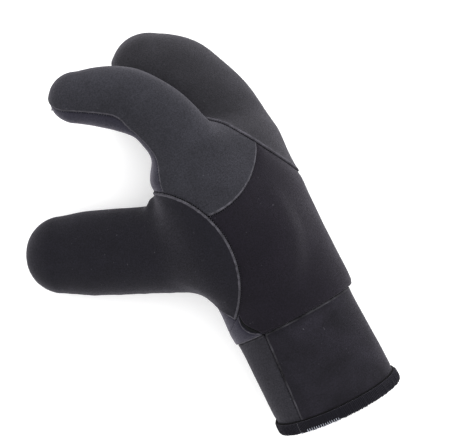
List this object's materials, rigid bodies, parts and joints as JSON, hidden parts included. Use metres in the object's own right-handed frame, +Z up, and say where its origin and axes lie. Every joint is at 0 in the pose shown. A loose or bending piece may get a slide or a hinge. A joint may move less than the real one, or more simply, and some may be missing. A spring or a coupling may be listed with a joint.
{
  "type": "lobster claw mitt",
  "caption": "Thick foam neoprene mitt with a thumb, a separate first finger and one pouch for the other fingers, hollow to its bound cuff.",
  "frame": {"origin": "middle of the footprint, on the surface that the mitt lies on", "axes": "+Y from the cuff to the fingertips, -X to the palm side that the digits curl towards, +Z up, the thumb's and first finger's side of the hand"},
  "size_m": [0.1992, 0.2962, 0.098],
  "materials": {
    "jersey": "matte knitted face over foam",
    "palm_skin": "matte, denser and slightly bluish knit",
    "cuff_jersey": "matte knitted face over foam",
    "binding_thread": "fuzzy overlocked thread"
  },
  "bodies": {
    "root": {"back_panel": "jersey", "finger_panel": "jersey", "pouch_panel": "jersey", "thumb_panel": "jersey", "palm_panel": "palm_skin", "thumb_palm": "palm_skin", "cuff_back": "cuff_jersey", "cuff_palm": "cuff_jersey", "cuff_binding": "binding_thread"}
  },
  "joints": []
}
